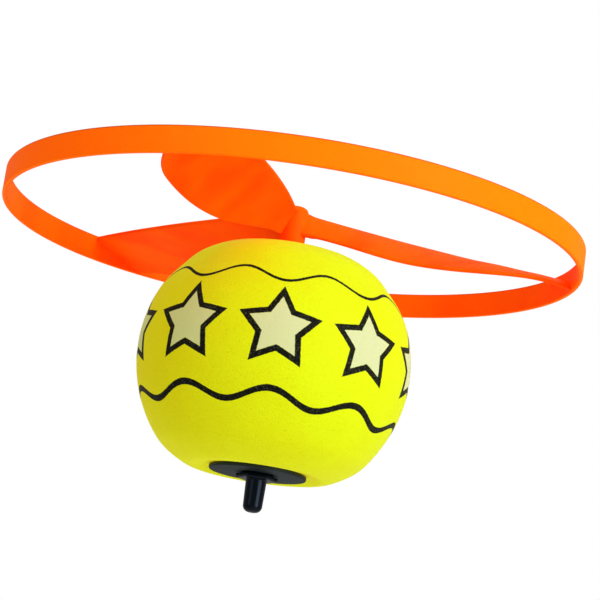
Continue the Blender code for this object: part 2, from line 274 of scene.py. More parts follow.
def hexagon_radius(angle: Array, sharpness: float = 34.0) -> Array:
    """Radius of a hexagon with rounded corners, over its inner radius, with two corners along X.

    The formula is the p-norm of the face distances: (sum of |cos(a - face)|^p)^(-1/p).

    Args:
        angle: Angles round the hexagon.
        sharpness: The power p: the higher it is, the sharper the corners are.

    Returns:
        Radii over the inner radius.
    """
    faces = np.radians([30.0, 90.0, 150.0])
    total = np.sum(np.abs(np.cos(angle[..., None] - faces)) ** sharpness, axis=-1)
    return total ** (-1.0 / sharpness)


def turned(profile: Array, segments: int, closed: bool = True, corners: Array | None = None) -> Surface:
    """A profile carried once round Z: the point (r, z) goes to (r cos a, r sin a, z) for each angle a.

    Args:
        profile: Rows of (radius, height). An open profile starts and ends on the axis, where each end
            becomes a single point.
        segments: Number of angles.
        closed: Whether the profile's last point joins its first.
        corners: Share of a rounded hexagon in each profile point: the radius there is multiplied by
            1 + share (h(a) - 1), where h is the hexagon's radius over its inner radius.

    Returns:
        The turned surface.
    """
    angle = turn_angles(segments)
    kept = slice(None) if closed else slice(1, -1)
    radius, height = profile[kept].T
    if corners is not None:
        radius = radius * (1.0 + corners[kept] * (hexagon_radius(angle) - 1.0))
    points = around_z(radius, angle, height)
    count = len(height)
    _, quads = grid_cells(segments, count, True, closed)
    faces = quads.tolist()
    if not closed:
        start, end = len(points), len(points) + 1
        points = np.vstack([points, [0.0, 0.0, profile[0, 1]], [0.0, 0.0, profile[-1, 1]]])
        first = np.arange(segments) * count
        last = first + count - 1
        faces += np.stack([np.full(segments, start), np.roll(first, -1), first], axis=1).tolist()
        faces += np.stack([np.full(segments, end), last, np.roll(last, -1)], axis=1).tolist()
    return Surface(points, faces)


def lofted(sections: Array) -> Surface:
    """Closed sections joined one after the other, with both ends filled.

    Args:
        sections: Points by section, place in the section and coordinate.

    Returns:
        The lofted surface.
    """
    rows, columns, _ = sections.shape
    _, quads = grid_cells(rows, columns, False, True)
    faces = quads.tolist()
    faces.append(list(range(columns)))
    faces.append(list(range((rows - 1) * columns, rows * columns)))
    return Surface(sections.reshape(-1, 3), faces)


def linked(name: str, data: bpy.types.ID) -> Object:
    """A new object in the scene.

    Args:
        name: Name of the object.
        data: Its mesh, lamp or camera.

    Returns:
        The object.
    """
    item = bpy.data.objects.new(name, data)
    bpy.context.scene.collection.objects.link(item)
    return item


def node_span(node: str) -> tuple[float, float, float]:
    """Outer radius, lowest and highest point of a CAD node that is centred on Z."""
    low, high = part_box(node)
    return high.x, low.z, high.z


@dataclass(frozen=True)
class Piece:
    """What a visible piece is: its name, its body, its record slot and the CAD node that it stands for."""

    name: str
    body: Body
    slot: Slot
    node: str

    def show(self, mesh: Mesh, material: Material) -> Object:
        """Show a mesh as this piece, in place of its CAD node.

        Args:
            mesh: The piece's mesh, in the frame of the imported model.
            material: Its finish.

        Returns:
            The new object.
        """
        mesh.materials.clear()
        mesh.materials.append(material)
        piece = linked(self.name, mesh)
        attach(piece, self.body.value)
        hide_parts(self.node)
        LOG.info("%s: %d faces on %s, for %s", self.name, len(mesh.polygons), self.body.value, self.node)
        return piece

    def show_turned(self, profile: Array, segments: int, material: Material, closed: bool = True) -> None:
        """Show a profile carried round Z as this piece."""
        self.show(turned(profile, segments, closed).mesh(self.name), material)


# Finishes


@dataclass(frozen=True)
class Field:
    """A value that varies over a surface: one node socket, with arithmetic."""

    graph: "Graph"
    socket: Socket

    def apply(self, operation: str, other: "Field | float | None" = None) -> "Field":
        """Result of one Math node on this field and, where the operation has one, a second operand."""
        operands = (self,) if other is None else (self, other)
        return self.graph.node("Math", dict(enumerate(operands)), operation=operation)

    def __add__(self, other: "Field | float") -> "Field":
        """Sum."""
        return self.apply("ADD", other)

    def __sub__(self, other: "Field | float") -> "Field":
        """Difference."""
        return self.apply("SUBTRACT", other)

    def __mul__(self, other: "Field | float") -> "Field":
        """Product."""
        return self.apply("MULTIPLY", other)

    def __truediv__(self, other: "Field | float") -> "Field":
        """Quotient."""
        return self.apply("DIVIDE", other)

    def __abs__(self) -> "Field":
        """Absolute value."""
        return self.apply("ABSOLUTE")

    def periods(self, period: float) -> "Field":
        """Nearest whole number of periods."""
        return (self / period).apply("ROUND")

    def folded(self, period: float) -> "Field":
        """Distance past the nearest multiple of the period, negative before it."""
        return self - self.periods(period) * period


Value = Field | float | Colour


def plane_length(x: Field, y: Field) -> Field:
    """Distance from the plane's origin: the root of x^2 + y^2."""
    return (x * x + y * y).apply("SQRT")


def moved(span: Span, offset: float) -> Span:
    """The same range, moved by an offset."""
    return span[0] + offset, span[1] + offset


class Graph:
    """Builder of the nodes round a single shader, of a material or of the surroundings."""

    def __init__(self, owner: Material | World, shader: str = "Principled BSDF") -> None:
        """Start with only the shader and its output.

        Args:
            owner: The new material or world.
            shader: Name of its shader node.
        """
        self.owner = owner
        owner.use_nodes = True
        self.nodes = owner.node_tree.nodes
        self.links = owner.node_tree.links
        self.shader = self.nodes[shader]

    def feed(self, target: Socket, value: Value) -> None:
        """Link a field to an input, or write a constant into it.

        Args:
            target: The input.
            value: A field, a number or a colour.
        """
        if isinstance(value, Field):
            self.links.new(value.socket, target)
        else:
            target.default_value = (*value, 1.0) if target.type == "RGBA" else value

    def node(
        self, kind: str, inputs: dict[int | str, Value], output: int | str = 0, **settings: str
    ) -> Field:
        """One new node.

        Args:
            kind: Type of the node, after its prefix ShaderNode.
            inputs: What reaches each input, by the input's name or number.
            output: Name or number of the output that is read.
            settings: The node's own properties.

        Returns:
            The output.
        """
        node = self.nodes.new(f"ShaderNode{kind}")
        for name, setting in settings.items():
            setattr(node, name, setting)
        for socket, value in inputs.items():
            self.feed(node.inputs[socket], value)
        return Field(self, node.outputs[output])

    def dress(self, sockets: dict[str, Value]) -> Material | World:
        """Give the shader its fields and the values that are the same all over.

        Args:
            sockets: What reaches each of the shader's inputs, by the input's name.

        Returns:
            The finished material or world.
        """
        for socket, value in sockets.items():
            self.feed(self.shader.inputs[socket], value)
        return self.owner

    def place(self) -> Field:
        """Object coordinates: the point in the frame, in metres."""
        return self.node("TexCoord", {}, "Object")

    def split(self, vector: Field) -> tuple[Field, Field, Field]:
        """The three parts of a vector.

        Args:
            vector: The vector.

        Returns:
            Its parts along X, Y and Z.
        """
        node = self.nodes.new("ShaderNodeSeparateXYZ")
        self.feed(node.inputs[0], vector)
        x, y, z = (Field(self, output) for output in node.outputs)
        return x, y, z

    def uv(self) -> tuple[Field, Field]:
        """Both coordinates of the piece's own UV map."""
        u, v, _ = self.split(self.node("UVMap", {}, "UV", uv_map=PRINT_MAP))
        return u, v

    def joined(self, x: Field | float, y: Field | float, z: Field | float) -> Field:
        """A vector of three parts."""
        return self.node("CombineXYZ", {0: x, 1: y, 2: z})

    def noise(self, vector: Field, grain: float, detail: float = 2.0, rough: float = 0.5) -> Field:
        """Smooth noise around 0.5.

        Args:
            vector: Where it is read.
            grain: Size of its features, in the vector's units.
            detail: Octaves.
            rough: Weight of each further octave.

        Returns:
            The noise.
        """
        inputs = {"Vector": vector, "Scale": 1.0 / grain, "Detail": detail, "Roughness": rough}
        return self.node("TexNoise", inputs)

    def cells(self, vector: Field, grain: float) -> Field:
        """Distance to the nearest of many scattered points, about grain apart, over grain."""
        return self.node("TexVoronoi", {"Vector": vector, "Scale": 1.0 / grain}, "Distance")

    def between(self, value: Field, span: Span, ends: Span = RISING) -> Field:
        """Smooth change from one number to another while a value crosses a range.

        Args:
            value: The value.
            span: Where the change starts and where it is complete.
            ends: The numbers there.

        Returns:
            The changing number.
        """
        names = ("From Min", "From Max", "To Min", "To Max")
        inputs = {"Value": value, **dict(zip(names, (*span, *ends)))}
        return self.node("MapRange", inputs, interpolation_type="SMOOTHSTEP")

    def mixed(self, share: Field, first: Field | Colour, second: Field | Colour) -> Field:
        """Colour that goes from the first to the second as share goes from 0 to 1."""
        # A Mix node keeps sockets for every data type: 6 and 7 are its colour inputs, 2 its colour output.
        return self.node("Mix", {0: share, 6: first, 7: second}, 2, data_type="RGBA")

    def bump(self, height: Field, depth: float, strength: float) -> Field:
        """Normal of a relief: depth is the height of 1 in metres, and strength the share that shows."""
        return self.node("Bump", {"Strength": strength, "Distance": depth, "Height": height}, "Normal")


@dataclass(frozen=True)
class StarPrint:
    """Printed band round the ball: outlined stars between two waves, in metres along the surface."""

    repeats: int = 9
    star_centre: float = 2.5 * MM
    star_reach: float = 11.2 * MM
    star_waist: float = 6.0 * MM
    tips: int = 5
    outline: float = 1.5 * MM
    wave_below: float = -14.5 * MM
    wave_above: float = 17.5 * MM
    wave_height: float = 1.9 * MM
    wave_half_width: float = 0.85 * MM
    fine_half_width: float = 0.45 * MM
    soft_edge: float = 0.09 * MM

    def star(self, x: Field, y: Field) -> Field:
        """Distance outside a star's edge, negative inside.

        The plane is folded to half a tip of the star; there the edge is the line from the outer to the
        inner corner, and the distance is the product of its normal with the place.

        Args:
            x: Place across, from the star's centre.
            y: Place up, from the star's centre.

        Returns:
            Distance, in metres.
        """
        sector = math.tau / self.tips
        rise = self.star_waist * math.sin(sector / 2)
        run = self.star_reach - self.star_waist * math.cos(sector / 2)
        edge = math.hypot(rise, run)
        reach = plane_length(x, y)
        fold = abs(x.apply("ARCTAN2", y).folded(sector))
        across = reach * fold.apply("COSINE") - self.star_reach
        return across * (rise / edge) + reach * fold.apply("SINE") * (run / edge)

    def wave(self, turn: Field, y: Field, height: float, phase: float, half_width: float) -> Field:
        """Distance outside a wavy line: |y - height - a sin(n turn + phase)| less half of its width."""
        crest = (turn * float(self.repeats) + phase).apply("SINE") * self.wave_height
        return abs(y - height - crest) - half_width

    def filled(self, distance: Field) -> Field:
        """Share of ink: 1 inside an edge and 0 outside, with a soft step across it."""
        return distance.graph.between(distance, (-self.soft_edge, self.soft_edge), FALLING)

    def masks(self, turn: Field, y: Field, wobble: Field, radius: float) -> tuple[Field, Field]:
        """Where there is ink.

        Args:
            turn: Angle round the ball, in radians.
            y: Distance along the surface above the ball's equator.
            wobble: Small distance that makes the edges uneven.
            radius: Radius of the ball.

        Returns:
            Share of pale ink and share of black ink.
        """
        x = turn.folded(math.tau / self.repeats) * radius
        star = self.star(x, y - self.star_centre) + wobble
        lower = self.wave(turn, y, self.wave_below, QUARTER_TURN, self.wave_half_width) + wobble
        upper = self.wave(turn, y, self.wave_above, -QUARTER_TURN, self.fine_half_width) + wobble
        pale = self.filled(star + self.outline)
        lines = self.filled(lower.apply("MINIMUM", upper))
        return pale, (self.filled(star) - pale).apply("MAXIMUM", lines)


@dataclass(frozen=True)
class FoamFinish:
    """Soft lemon foam with fine closed cells, printed with a band of stars, with a painted glow and painted
    shade in its pits.
    """

    lemon: Colour = (0.46, 0.74, 0.004)
    shade: Colour = (0.45, 0.70, 0.003)
    # Painted glow: emission that lifts the foam's shaded side, golden
    painted_glow: Colour = (1.0, 0.55, 0.0)
    mottle_grain: float = 9.0 * MM
    mottle_span: Span = (0.35, 0.7)
    pale_ink: Colour = (0.50, 0.55, 0.38)
    # Painted glow of the pale ink
    pale_ink_painted_glow: Colour = (0.63, 0.63, 0.0)
    black_ink: Colour = (0.004, 0.005, 0.003)
    fleck: Colour = (0.09, 0.095, 0.06)
    fleck_grain: float = 0.30 * MM
    fleck_span: Span = (0.60, 0.70)
    ink_wobble: float = 0.22 * MM
    wobble_grain: float = 0.55 * MM
    # Painted shade in the pits and pores: a darker colour and a dimmer painted glow
    painted_pit_shade: Colour = (0.30, 0.42, 0.002)
    painted_pit_shade_share: float = 0.3
    pit_painted_glow: Colour = (0.82, 0.45, 0.0)
    pit_painted_glow_share: float = 0.5
    cell: float = 0.62 * MM
    cell_span: Span = (0.12, 0.52)
    cell_share: float = 0.35
    cell_depth: float = 0.16 * MM
    pore: float = 1.9 * MM
    pore_span: Span = (0.07, 0.13)
    grain_rough: float = 0.6
    grain_share: float = 0.5
    relief: float = 0.6
    roughness: Span = (0.62, 0.5)
    print_band: StarPrint = StarPrint()

    def material(self, equator: float, length: float, radius: float) -> Material:
        """Foam material for a skin whose UV runs round the ball and along its profile.

        Args:
            equator: The profile share at the ball's equator.
            length: Length of the profile, in metres.
            radius: Radius of the ball.

        Returns:
            The material.
        """
        graph = Graph(bpy.data.materials.new("lemon_foam"))
        place = graph.place()
        u, v = graph.uv()
        cells = graph.between(graph.cells(place, self.cell), self.cell_span, FALLING)
        pores = graph.between(graph.cells(place, self.pore), self.pore_span, FALLING)
        hollow = (cells * self.cell_share).apply("MAXIMUM", pores)
        wobble = (graph.noise(place, self.wobble_grain, detail=1.0) - NOISE_MIDDLE) * self.ink_wobble
        # The middle of the print's map faces the front
        turn = (u - 0.5) * math.tau
        pale, black = self.print_band.masks(turn, (v - equator) * length, wobble, radius)
        mottle = graph.between(graph.noise(place, self.mottle_grain, detail=3.0), self.mottle_span)
        # Painted shade: the foam's colour darkens in the pits and pores
        foam = graph.mixed(hollow * self.painted_pit_shade_share, graph.mixed(mottle, self.lemon, self.shade), self.painted_pit_shade)
        fleck = graph.between(graph.noise(place, self.fleck_grain, detail=1.0), self.fleck_span)
        ink = graph.mixed(fleck, self.black_ink, self.fleck)
        # Painted glow of the foam and its print, dimmer in the pits as painted shade
        painted_glow = graph.mixed(hollow * self.pit_painted_glow_share, self.painted_glow, self.pit_painted_glow)
        grain = graph.noise(place, self.cell, rough=self.grain_rough)
        return graph.dress({
            "Base Color": graph.mixed(black, graph.mixed(pale, foam, self.pale_ink), ink),
            "Roughness": graph.between(black, RISING, self.roughness),
            "Normal": graph.bump(grain * self.grain_share - hollow, self.cell_depth, self.relief),
            "Emission Color": graph.mixed(black, graph.mixed(pale, painted_glow, self.pale_ink_painted_glow), NO_GLOW),
            "Emission Strength": 0.37,
            "Specular IOR Level": 0.05,
            "Sheen Weight": 0.08,
            "Sheen Roughness": 0.5,
            "Sheen Tint": (1.0, 1.0, 0.5),
            "Subsurface Weight": 0.4,
            "Subsurface Radius": (1.0, 0.9, 0.2),
            "Subsurface Scale": 6.0 * MM,
        })


@dataclass(frozen=True)
class OrangeFinish:
    """Orange moulding, slightly translucent, with soft flow marks across the blades, a painted glow and
    painted light and shade.
    """

    # Painted light and shade: lighter outside the hoop, darker inside it and on the blades
    outside_painted_light: Colour = (1.0, 0.227, 0.002)
    inner: Colour = (1.0, 0.137, 0.001)
    blade: Colour = (1.0, 0.128, 0.001)
    deep: Colour = (1.0, 0.088, 0.001)
    # Painted shade along the hoop's upper rim
    edge: Colour = (0.40, 0.035, 0.006)
    # Painted glow: emission that keeps the shaded orange a bright red, weaker on the blades
    painted_glow: Colour = (1.0, 0.02, 0.0)
    blade_painted_glow: Colour = (0.72, 0.008, 0.0)
    blade_angle: float = math.radians(10.0)
    flow_grain: float = 15.0 * MM
    flow_detail: float = 1.5
    flow_stretch: float = 0.4
    flow_apart: float = 0.05
    flow_span: Span = (0.42, 0.66)
    joint_span: Span = (-0.1 * MM, 0.1 * MM)
    wall_span: Span = (0.2 * MM, 1.0 * MM)
    rim_span: Span = (-0.50 * MM, -0.15 * MM)
    # Painted shade along the rim: where it sits across the wall, and how strong it is
    painted_rim_shade_span: Span = (-0.35 * MM, -0.10 * MM)
    painted_rim_shade_share: float = 0.7
    skin_grain: float = 0.8 * MM
    roughness: Span = (0.36, 0.48)
    relief_grain: float = 2.4 * MM
    relief_depth: float = 0.02 * MM
    relief: float = 0.5

    def material(self, blades: int, hoop_high: float, hoop_inner: float, hoop_outer: float) -> Material:
        """Orange material: painted lighter outside the hoop, painted darker inside it and on the blades,
        painted shade along the upper rim, and a painted glow.

        Args:
            blades: Number of blades.
            hoop_high: Height of the hoop's upper edge.
            hoop_inner: Inner radius of the hoop.
            hoop_outer: Outer radius of the hoop.

        Returns:
            The material.
        """
        graph = Graph(bpy.data.materials.new("orange_moulding_finish"))
        place = graph.place()
        x, y, z = graph.split(place)
        reach = plane_length(x, y)
        turn = y.apply("ARCTAN2", x) - self.blade_angle
        pitch = math.tau / blades
        aside = turn.folded(pitch) * reach
        along = (reach + aside) * self.flow_stretch
        streaks = graph.joined(reach - aside, along, turn.periods(pitch) * self.flow_apart)
        marks = graph.between(graph.noise(streaks, self.flow_grain, self.flow_detail), self.flow_span)
        on_hoop = graph.between(reach, moved(self.joint_span, hoop_inner))
        # Painted light and shade: the hoop's outer face lighter, its inner face and the blades darker
        outside = graph.between(reach, moved(self.wall_span, hoop_inner))
        hoop = graph.mixed(outside, self.inner, self.outside_painted_light)
        colour = graph.mixed(on_hoop, graph.mixed(marks, self.blade, self.deep), hoop)
        # Painted shade: a dark line along the hoop's upper rim, where the glow is taken away
        rim = graph.between(z, moved(self.rim_span, hoop_high))
        half_wall = (hoop_outer - hoop_inner) / 2
        from_middle = abs(reach - (hoop_inner + half_wall))
        beside = graph.between(from_middle, moved(self.painted_rim_shade_span, half_wall))
        painted_rim_shade = rim * beside * on_hoop * self.painted_rim_shade_share
        # Painted glow, weaker on the blades
        painted_glow = graph.mixed(on_hoop, self.blade_painted_glow, self.painted_glow)
        return graph.dress({
            "Base Color": graph.mixed(painted_rim_shade, colour, self.edge),
            "Roughness": graph.between(graph.noise(place, self.skin_grain), NOISE_SPAN, self.roughness),
            "Normal": graph.bump(graph.noise(place, self.relief_grain), self.relief_depth, self.relief),
            "Emission Color": graph.mixed(painted_rim_shade, painted_glow, NO_GLOW),
            "Emission Strength": 0.48,
            "Specular IOR Level": 0.015,
            "Subsurface Weight": 0.25,
            "Subsurface Radius": (1.0, 0.25, 0.05),
            "Subsurface Scale": 2.0 * MM,
        })


@dataclass(frozen=True)
class BlackFinish:
    """Black moulding, etched or polished."""

    name: str
    base: Colour
    bloom: Colour
    roughness: Span
    grain: float
    depth: float
    tint: Colour
    gloss: float = 0.30
    cloud_grain: float = 4.0 * MM
    cloud_span: Span = (0.35, 0.75)
    relief: float = 0.5

    def material(self) -> Material:
        """Black material with a faint bloom, uneven gloss and fine relief.

        Returns:
            The material.
        """
        graph = Graph(bpy.data.materials.new(self.name))
        place = graph.place()
        cloud = graph.between(graph.noise(place, self.cloud_grain, detail=3.0), self.cloud_span)
        skin = graph.noise(place, self.grain)
        return graph.dress({
            "Base Color": graph.mixed(cloud, self.base, self.bloom),
            "Roughness": graph.between(skin, NOISE_SPAN, self.roughness),
            "Normal": graph.bump(skin, self.depth, self.relief),
            "Specular IOR Level": self.gloss,
            "Specular Tint": self.tint,
        })


SATIN_BLACK = BlackFinish(
    name="satin_black_finish",
    base=(0.007, 0.011, 0.011),
    bloom=(0.013, 0.019, 0.018),
    roughness=(0.44, 0.58),
    grain=0.25 * MM,
    depth=0.012 * MM,
    tint=(0.78, 1.0, 0.97),
)
GLOSS_BLACK = BlackFinish(
    name="gloss_black_finish",
    base=(0.002, 0.003, 0.004),
    bloom=(0.003, 0.005, 0.007),
    roughness=(0.16, 0.22),
    grain=1.2 * MM,
    depth=0.008 * MM,
    tint=(0.35, 0.46, 0.68),
)


@dataclass(frozen=True)
class AcetalFinish:
    """Off-white bearing plastic with faint turning marks."""

    base: Colour = (0.80, 0.79, 0.74)
    shade: Colour = (0.70, 0.68, 0.61)
    cloud_grain: float = 2.0 * MM
    cloud_span: Span = (0.35, 0.7)
    ring_grain: float = 0.12 * MM
    ring_depth: float = 0.01 * MM
    roughness: Span = (0.32, 0.5)
    relief: float = 0.6

    def material(self) -> Material:
        """Off-white material.

        Returns:
            The material.
        """
        graph = Graph(bpy.data.materials.new("white_acetal_finish"))
        place = graph.place()
        x, y, z = graph.split(place)
        rings = graph.noise(graph.joined(plane_length(x, y), z, 0.0), self.ring_grain, detail=1.0)
        cloud = graph.between(graph.noise(place, self.cloud_grain), self.cloud_span)
        return graph.dress({
            "Base Color": graph.mixed(cloud, self.base, self.shade),
            "Roughness": graph.between(rings, NOISE_SPAN, self.roughness),
            "Normal": graph.bump(rings, self.ring_depth, self.relief),
        })


@dataclass(frozen=True)
class SteelFinish:
    """Bright drawn steel with fine lines along the rod."""

    base: Colour = (0.62, 0.62, 0.63)
    dull: Colour = (0.42, 0.42, 0.44)
    line_grain: float = 0.15 * MM
    line_stretch: float = 0.02
    line_span: Span = (0.35, 0.7)
    roughness: Span = (0.18, 0.36)

    def material(self) -> Material:
        """Steel material.

        Returns:
            The material.
        """
        graph = Graph(bpy.data.materials.new("bright_steel_finish"))
        x, y, z = graph.split(graph.place())
        lines = graph.noise(graph.joined(x, y, z * self.line_stretch), self.line_grain)
        return graph.dress({
            "Base Color": graph.mixed(graph.between(lines, self.line_span), self.base, self.dull),
            "Roughness": graph.between(lines, NOISE_SPAN, self.roughness),
            "Metallic": 1.0,
        })


# Sub-assemblies


@dataclass(frozen=True)
class Wave:
    """A slow wave round the ball: its size, its crests in a turn, its phase and its lean with height."""

    size: float
    crests: int
    phase: float
    lean: float

    def at(self, angle: Array, rise: Array) -> Array:
        """Size times the cosine of crests x angle + phase + lean x rise."""
        return self.size * np.cos(self.crests * angle + self.phase + self.lean * rise)


@dataclass
class FoamHead:
    """Foam ball with the black core that holds it and the bushes that it rides on."""

    black: Material
    acetal: Material
    edge_radius: float = 14.0 * MM
    edge_steps: int = 24
    side_steps: int = 60
    ball_bore: float = 6.55 * MM
    waves: tuple[Wave, ...] = (
        Wave(0.16 * MM, 2, 0.6, 0.9),
        Wave(0.12 * MM, 3, 2.1, -1.4),
        Wave(0.07 * MM, 5, 0.3, 2.2),
        Wave(0.04 * MM, 9, 1.2, -3.1),
    )
    wave_end: float = 0.74
    wave_fade: float = 0.3
    slack: float = 0.35 * MM
    shoulder: float = 0.75 * MM
    shoulder_rise: float = 0.64
    shoulder_width: float = 0.13
    lip: float = 1.0 * MM
    lip_width: float = 4.2 * MM
    lip_gap: float = 4.4 * MM
    segments: int = 360
    outline_points: int = 216
    bore_points: int = 8
    core_segments: int = 128
    plate_edge: float = 0.35 * MM
    sleeve_radius: float = 6.3 * MM
    sleeve_bore: float = 2.3 * MM
    plug_radius: float = 4.0 * MM
    plug_length: float = 8.0 * MM
    seat_gap: float = 0.25 * MM
    peg_well: float = 4.0 * MM
    dish_radius: float = 5.73 * MM
    dish_depth: float = 0.3 * MM
    dish_edge: float = 0.5 * MM
    disc_height: float = 1.0 * MM
    flange_height: float = 1.2 * MM
    bush_bore: float = 1.8 * MM
    bush_radius: float = 2.7 * MM
    bush_flange: float = 3.7 * MM
    bush_flange_height: float = 0.8 * MM
    bush_edge: float = 0.12 * MM
    bush_segments: int = 64

    def ball_outline(self) -> Array:
        """Half section of the ball from the bore's lower edge round to its upper edge.

        Arcs of edge_radius join both flats to the sphere. Next to each black plate the flat swells by a
        bell curve of the distance from the plate's rim, where the foam is squeezed out.

        Returns:
            Rows of (radius, height) at equal distances.
        """
        radius, low, high = node_span("foam_ball")
        centre = (low + high) / 2
        inner = radius - self.edge_radius
        level = (high - low) / 2 - self.edge_radius
        flat = math.sqrt(inner * inner - level * level)
        side = math.degrees(math.asin(level / inner))
        outline = np.concatenate([
            [[self.ball_bore, low]],
            arc((flat, centre - level), self.edge_radius, -90.0, -side, self.edge_steps),
            arc((0.0, centre), radius, -side, side, self.side_steps)[1:-1],
            arc((flat, centre + level), self.edge_radius, side, 90.0, self.edge_steps),
            [[self.ball_bore, high]],
        ])
        outline = resampled(outline, self.outline_points)
        for node, sign in (("base_disc", -1.0), ("top_flange", 1.0)):
            from_rim = outline[:, 0] - node_span(node)[0]
            near = (outline[:, 1] - centre) * sign > level
            outside = smooth(from_rim / self.lip_width)
            swell = self.lip * outside * hump(from_rim - self.lip_gap, self.lip_width)
            outline[:, 1] += sign * np.where(near, swell, 0.0)
        return outline

    def unevenness(self, angle: Array, rise: Array) -> Array:
        """Outward displacement of the soft skin: the sum of the waves, less the slack and the shoulder.

        Waves and slack fade out before both flats. The shoulder, below the upper flat, is a bell curve of
        the height.

        Args:
            angle: Angle round Z.
            rise: Height from the ball's centre over its radius.

        Returns:
            Displacement in metres.
        """
        total = sum(wave.at(angle, rise) for wave in self.waves)
        soft = (total - self.slack) * smooth((self.wave_end - np.abs(rise)) / self.wave_fade)
        return soft - self.shoulder * hump(rise - self.shoulder_rise, self.shoulder_width)

    def build_skin(self) -> None:
        """Foam skin: the outline turned round Z, moved out by the unevenness and closed by the bore."""
        radius, low, high = node_span("foam_ball")
        outline = self.ball_outline()
        wall = np.linspace(high, low, self.bore_points + 2)[1:-1]
        loop = np.concatenate([outline, np.stack([np.full_like(wall, self.ball_bore), wall], axis=1)])
        count = len(loop)
        ahead = np.roll(loop, -1, axis=0) - np.roll(loop, 1, axis=0)
        normal = unit(np.stack([ahead[:, 1], -ahead[:, 0]], axis=1))
        angle = turn_angles(self.segments) + QUARTER_TURN
        rise = (loop[:, 1] - (low + high) / 2) / radius
        on_skin = np.arange(count) < len(outline)
        push = self.unevenness(angle, rise[None, :]) * on_skin
        points = around_z(loop[:, 0] + push * normal[:, 0], angle, loop[:, 1] + push * normal[:, 1])
        corner, quads = grid_cells(self.segments, count, True, True)
        uv = corner / np.array([self.segments, count])
        step = float(np.linalg.norm(outline[1] - outline[0]))
        equator = (len(outline) - 1) / 2 / count
        finish = FoamFinish().material(equator, step * count, radius)
        role = Piece("foam_skin", Body.HEAD, Slot.FOAM, "foam_ball")
        piece = role.show(Surface(points, quads.tolist(), uv).mesh(role.name), finish)

    def build_disc(self) -> None:
        """Base disc, turned round Z: the dished disc, and the sleeve that the flange's plug goes into."""
        rim, low, high = node_span("base_disc")
        _, bush_low, bush_high = node_span("lower_bush")
        upper = low + self.disc_height
        socket = self.plug_radius + self.seat_gap
        shelf = high - self.plug_length
        seat = self.bush_radius + self.seat_gap
        seat_low = bush_low + self.bush_flange_height + self.seat_gap
        seat_high = bush_high + self.seat_gap
        profile = rounded([
            (self.peg_well, low + self.dish_depth, CRISP),
            (self.dish_radius, low, self.dish_edge),
            (rim, low, self.plate_edge),
            (rim, upper, SLIGHT),
            (self.sleeve_radius, upper, SOFT),
            (self.sleeve_radius, high, EASED),
            (socket, high, EASED),
            (socket, shelf, EASED),
            (self.sleeve_bore, shelf, CRISP),
            (self.sleeve_bore, seat_high, CRISP),
            (seat, seat_high, CRISP),
            (seat, seat_low, CRISP),
            (self.peg_well, seat_low, CRISP),
        ])
        role = Piece("base_disc_moulding", Body.HEAD, Slot.SATIN, "base_disc")
        role.show_turned(profile, self.core_segments, self.black)

    def build_flange(self) -> None:
        """Top flange, turned round Z: plug, sleeve and a plate with a recess for the upper bush."""
        rim, low, high = node_span("top_flange")
        plug_end = low + self.plug_length
        under = high - self.flange_height
        recess = self.bush_flange + self.seat_gap
        floor = high - self.bush_flange_height - self.seat_gap
        seat = self.bush_radius + self.seat_gap
        seat_low = node_span("upper_bush")[1] - self.seat_gap
        profile = rounded([
            (self.sleeve_bore, low, CRISP),
            (self.plug_radius, low, SOFT),
            (self.plug_radius, plug_end, CRISP),
            (self.sleeve_radius, plug_end, EASED),
            (self.sleeve_radius, under, SOFT),
            (rim, under, SLIGHT),
            (rim, high, self.plate_edge),
            (recess, high, CRISP),
            (recess, floor, CRISP),
            (seat, floor, CRISP),
            (seat, seat_low, CRISP),
            (self.sleeve_bore, seat_low, CRISP),
        ])
        role = Piece("top_flange_moulding", Body.HEAD, Slot.SATIN, "top_flange")
        role.show_turned(profile, self.core_segments, self.black)

    def build_bush(self, node: str, flange_up: bool) -> None:
        """Flanged bush, turned round Z.

        Args:
            node: The bush's CAD node.
            flange_up: Whether its flange is at its upper end.
        """
        _, low, high = node_span(node)
        if flange_up:
            lower, upper, shoulder = self.bush_radius, self.bush_flange, high - self.bush_flange_height
        else:
            lower, upper, shoulder = self.bush_flange, self.bush_radius, low + self.bush_flange_height
        places = [
            (self.bush_bore, low),
            (lower, low),
            (lower, shoulder),
            (upper, shoulder),
            (upper, high),
            (self.bush_bore, high),
        ]
        profile = rounded(same_corners(places, self.bush_edge), SMALL_CORNER_STEPS)
        role = Piece(f"{node}_turning", Body.HEAD, Slot.ACETAL, node)
        role.show_turned(profile, self.bush_segments, self.acetal)

    def build(self) -> None:
        """Every piece of the head, from the skin inwards."""
        self.build_skin()
        self.build_disc()
        self.build_flange()
        self.build_bush("lower_bush", False)
        self.build_bush("upper_bush", True)


